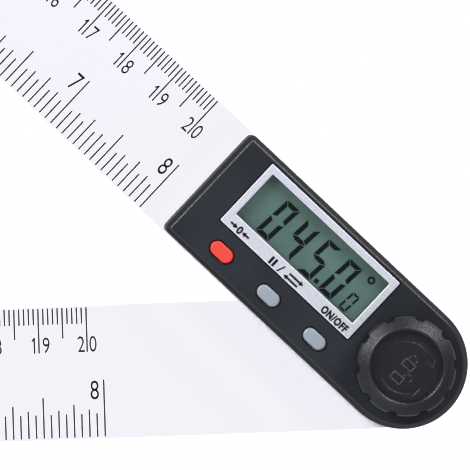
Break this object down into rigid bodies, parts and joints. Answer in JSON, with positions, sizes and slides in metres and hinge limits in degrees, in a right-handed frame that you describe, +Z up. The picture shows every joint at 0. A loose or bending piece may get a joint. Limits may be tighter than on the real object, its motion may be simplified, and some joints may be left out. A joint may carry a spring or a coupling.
{
  "type": "digital angle finder",
  "caption": "Digital angle finder: flat scaled arms on one pivot, a display head with push buttons on the upper arm, and a lobed lock knob over the pivot.",
  "frame": {"origin": "on the pivot's axis, in the plane of the base arm's underside", "axes": "+Z up, out of the display; the base arm runs along -X; the head arm is opened by 45 degrees at rest, towards -X+Y"},
  "size_m": [0.2787, 0.2106, 0.0202],
  "materials": {
    "white_plastic": "satin moulded, printed black scales",
    "black_plastic": "fine spark-eroded texture",
    "silver_plastic": "silver paint on moulded plastic",
    "clear_lens": "clear polished acrylic",
    "display_glass": "grey-green display, dark digits",
    "red_plastic": "satin moulded",
    "grey_plastic": "satin moulded",
    "natural_polymer": "moulded, uncoloured",
    "silver_foil": "bright foil",
    "black_rubber": "matte",
    "green_laminate": "glass-fibre laminate with solder mask",
    "black_epoxy": "cast blob",
    "cell_steel": "nickel-plated",
    "tinned_steel": "tinned spring steel",
    "zinc_steel": "zinc-plated",
    "brass": "turned"
  },
  "bodies": {
    "base": {"base_arm": "white_plastic", "pivot_hub": "zinc_steel", "thrust_washer": "natural_polymer", "retaining_ring": "zinc_steel", "encoder_rotor": "green_laminate", "spring_washer": "zinc_steel"},
    "head": {"head_arm": "white_plastic", "housing_cover": "black_plastic", "pivot_bush": "brass", "display_bezel": "silver_plastic", "display_lens": "clear_lens", "lcd_panel": "display_glass", "lcd_frame": "natural_polymer", "lcd_reflector": "silver_foil", "contact_strip_upper": "black_rubber", "contact_strip_lower": "black_rubber", "main_board": "green_laminate", "control_chip": "black_epoxy", "battery_tray": "natural_polymer", "coin_cell": "cell_steel", "positive_contact": "tinned_steel", "negative_contact": "tinned_steel", "battery_door": "white_plastic", "battery_door_screw": "zinc_steel", "zero_switch": "black_plastic", "hold_switch": "black_plastic", "power_switch": "black_plastic", "housing_screw_1": "zinc_steel", "housing_screw_2": "zinc_steel", "housing_screw_3": "zinc_steel", "housing_screw_4": "zinc_steel"},
    "zero_button": {"zero_button": "red_plastic", "zero_plunger": "black_plastic"},
    "hold_button": {"hold_button": "grey_plastic", "hold_plunger": "black_plastic"},
    "power_button": {"power_button": "grey_plastic", "power_plunger": "black_plastic"},
    "lock_knob": {"lock_knob": "black_plastic", "knob_insert": "brass"}
  },
  "joints": [
    {"name": "arm_pivot", "type": "hinge", "parent": "base", "child": "head", "pos_m": [0, 0, 0], "axis": [0, 0, 1], "continuous": true},
    {"name": "zero_press", "type": "slide", "parent": "head", "child": "zero_button", "axis": [0, 0, -1], "range_m": [0, 0.0005], "stiffness_N_per_m": 500},
    {"name": "hold_press", "type": "slide", "parent": "head", "child": "hold_button", "axis": [0, 0, -1], "range_m": [0, 0.0005], "stiffness_N_per_m": 500},
    {"name": "power_press", "type": "slide", "parent": "head", "child": "power_button", "axis": [0, 0, -1], "range_m": [0, 0.0005], "stiffness_N_per_m": 500},
    {"name": "lock_knob_turn", "type": "hinge", "parent": "base", "child": "lock_knob", "pos_m": [0, 0, 0], "axis": [0, 0, 1], "range_deg": [0, 180]}
  ]
}
